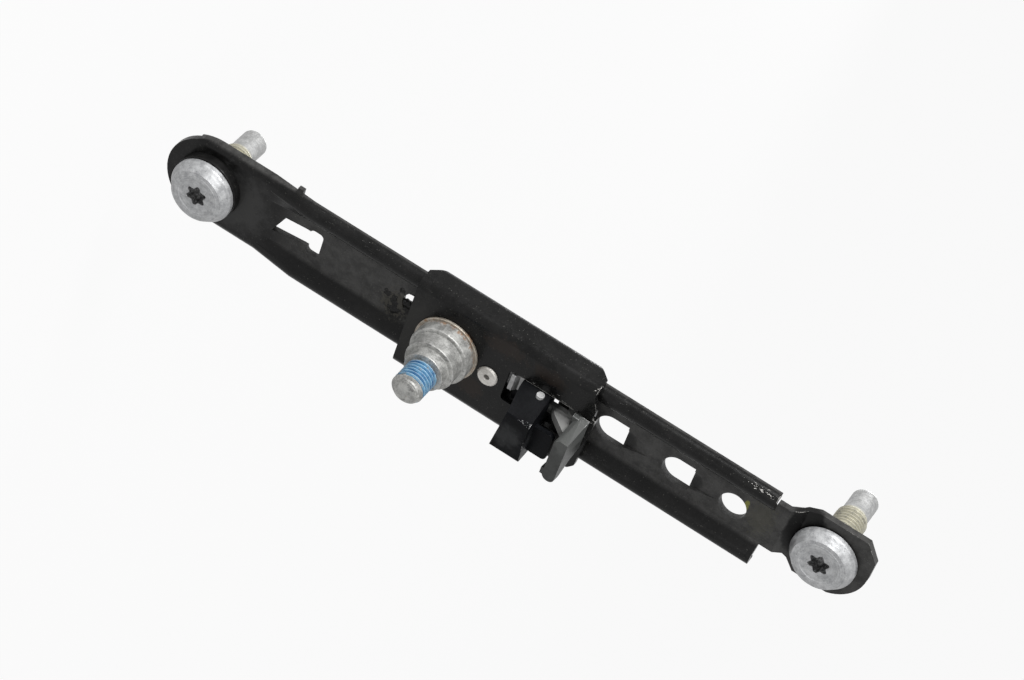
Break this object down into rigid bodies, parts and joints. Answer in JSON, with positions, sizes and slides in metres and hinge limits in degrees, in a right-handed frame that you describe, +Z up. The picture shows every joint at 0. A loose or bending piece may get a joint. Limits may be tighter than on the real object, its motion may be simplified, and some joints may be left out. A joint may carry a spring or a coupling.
{
  "type": "seat belt height adjuster",
  "caption": "Pressed steel rail with a lock-pin slider that carries a stepped belt stud, bolted to a body pillar at both ends.",
  "frame": {"origin": "axis of the lower bolt at the rear face of the lower eye, where it meets the pillar", "axes": "+Z up along the rail to the upper bolt, -Y into the cabin along the belt stud, +X to the side of the thumb nose"},
  "size_m": [0.035, 0.0612, 0.2376],
  "materials": {
    "rail_coating": "semi-gloss black dip coat, worn at its edges",
    "slider_coating": "semi-gloss black dip coat, worn at its edges",
    "bolt_steel": "mottled zinc-flake grey",
    "washer_steel": "black washers",
    "stud_steel": "turned steel, light grey",
    "ring_steel": "steel with light rust",
    "rivet_steel": "pale plated steel",
    "spring_steel": "blued spring steel",
    "plunger_plastic": "black moulding with a scuffed thumb face",
    "pin_steel": "bright steel",
    "lever_plastic": "dark grey moulding",
    "glide_plastic": "dark moulded glide"
  },
  "bodies": {
    "root": {"rail": "rail_coating", "lower_bolt": "bolt_steel", "upper_bolt": "bolt_steel", "lower_spacer": "washer_steel", "upper_retainer": "washer_steel"},
    "slider": {"slider_plate": "slider_coating", "belt_stud": "stud_steel", "stud_ring": "ring_steel", "hollow_rivet": "rivet_steel", "lock_spring": "spring_steel", "left_glide": "glide_plastic", "right_glide": "glide_plastic", "lever_axle": "pin_steel", "axle_clip": "pin_steel"},
    "plunger": {"plunger_head": "plunger_plastic", "lock_pin": "pin_steel", "cross_pin": "pin_steel"},
    "lever": {"release_lever": "lever_plastic"}
  },
  "joints": [
    {"name": "slider_travel", "type": "slide", "parent": "root", "child": "slider", "axis": [0, 0, 1], "range_m": [-0.0446, 0.0446]},
    {"name": "plunger_lock", "type": "slide", "parent": "slider", "child": "plunger", "axis": [0, 1, 0], "range_m": [0, 0.0026]},
    {"name": "lever_turn", "type": "hinge", "parent": "slider", "child": "lever", "pos_m": [0, -0.0039, 0.1282], "axis": [1, 0, 0], "range_deg": [0, 18.6]}
  ],
  "couplings": [
    {"joint": "lever_turn", "follows": "plunger_lock", "rad_per_m": 124.18}
  ]
}
